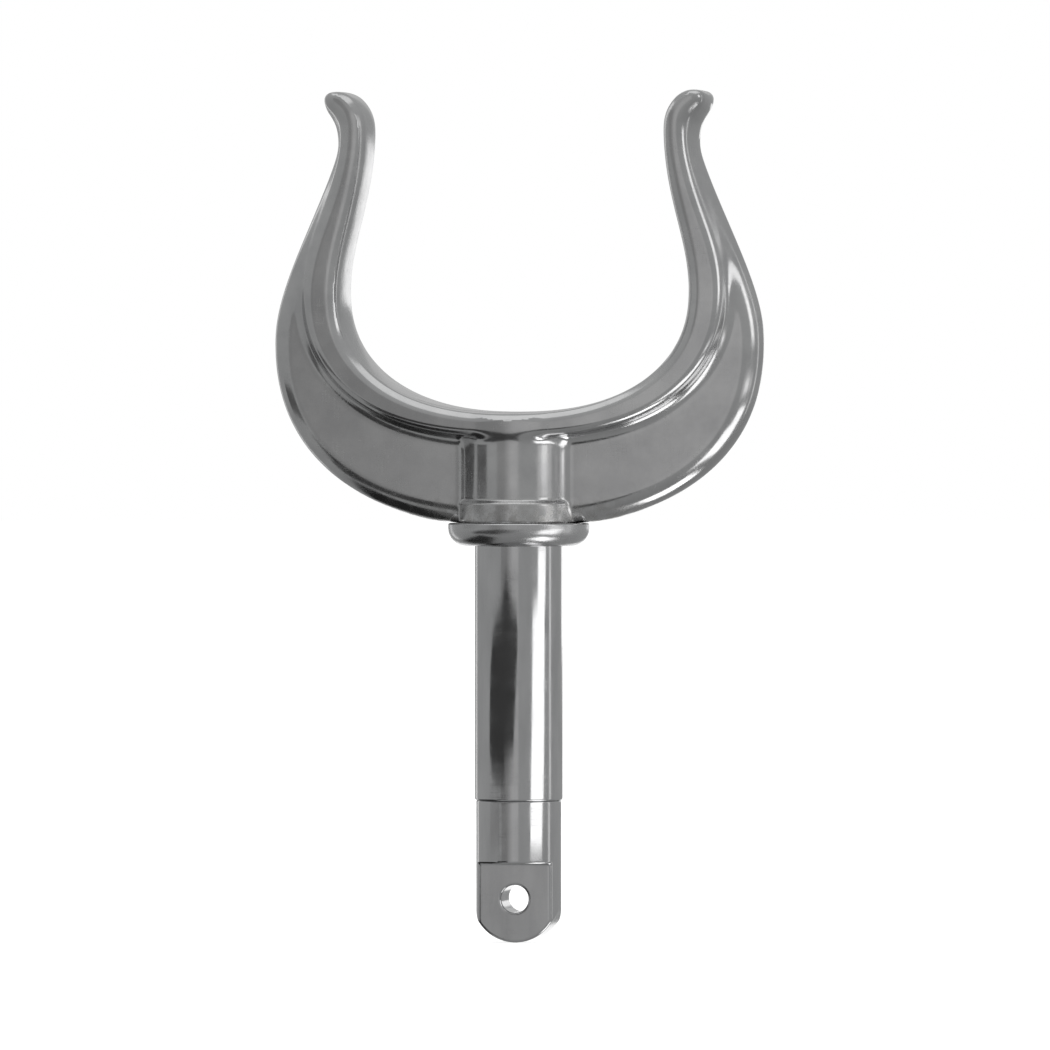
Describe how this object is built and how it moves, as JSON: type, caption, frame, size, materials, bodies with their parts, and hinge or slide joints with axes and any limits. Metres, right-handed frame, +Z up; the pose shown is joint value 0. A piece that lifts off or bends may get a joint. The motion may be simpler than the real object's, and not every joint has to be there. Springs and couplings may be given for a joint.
{
  "type": "round-shank rowlock",
  "caption": "Open rowlock horn with flared tips on a webbed boss, a collar and a round shank that ends in a flat eye.",
  "frame": {"origin": "on the shank's axis, at the collar's underside, where it rests on a rowlock socket", "axes": "+Z up the shank's axis towards the horn's tips, X across the horn from tip to tip, Y fore and aft through the bowl"},
  "size_m": [0.072, 0.0204, 0.1228],
  "materials": {
    "cast_polished": "polished",
    "turned_polished": "polished"
  },
  "bodies": {
    "root": {"horn": "cast_polished", "collar": "turned_polished", "shank": "turned_polished", "eye_end": "turned_polished"}
  },
  "joints": []
}
